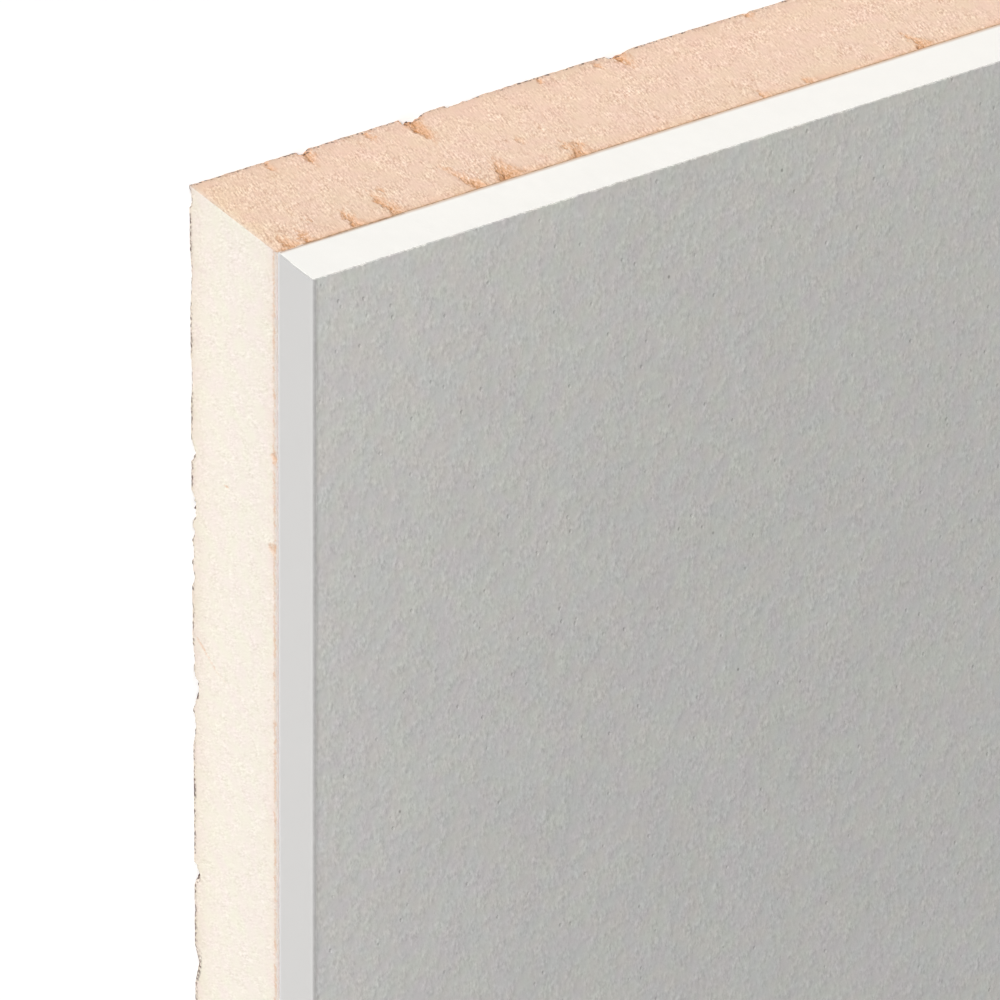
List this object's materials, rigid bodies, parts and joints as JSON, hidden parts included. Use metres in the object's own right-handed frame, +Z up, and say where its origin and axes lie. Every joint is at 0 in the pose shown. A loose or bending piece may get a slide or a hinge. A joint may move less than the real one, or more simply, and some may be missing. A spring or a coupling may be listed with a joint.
{
  "type": "insulated drywall sheet",
  "caption": "Rectangular drywall sheet: a paper-lined gypsum board with square edges, bonded to a rigid foam backing that insulates the wall it lines.",
  "frame": {"origin": "on the floor plane, under the middle of the sheet, on the foam's back face", "axes": "+Z up out of the paper face, +Y along the sheet's length, +X across its width"},
  "size_m": [1.2, 2.4, 0.0425],
  "materials": {
    "foam": "peach rigid foam, fine closed cells, matt, torn along the sawn ends",
    "gypsum": "white gypsum, matt and chalky",
    "face_paper": "light grey board paper with short fibres, matt",
    "back_paper": "brown board paper, matt"
  },
  "bodies": {
    "root": {"insulation_board": "foam", "gypsum_core": "gypsum", "face_paper": "face_paper", "back_paper": "back_paper"}
  },
  "joints": []
}
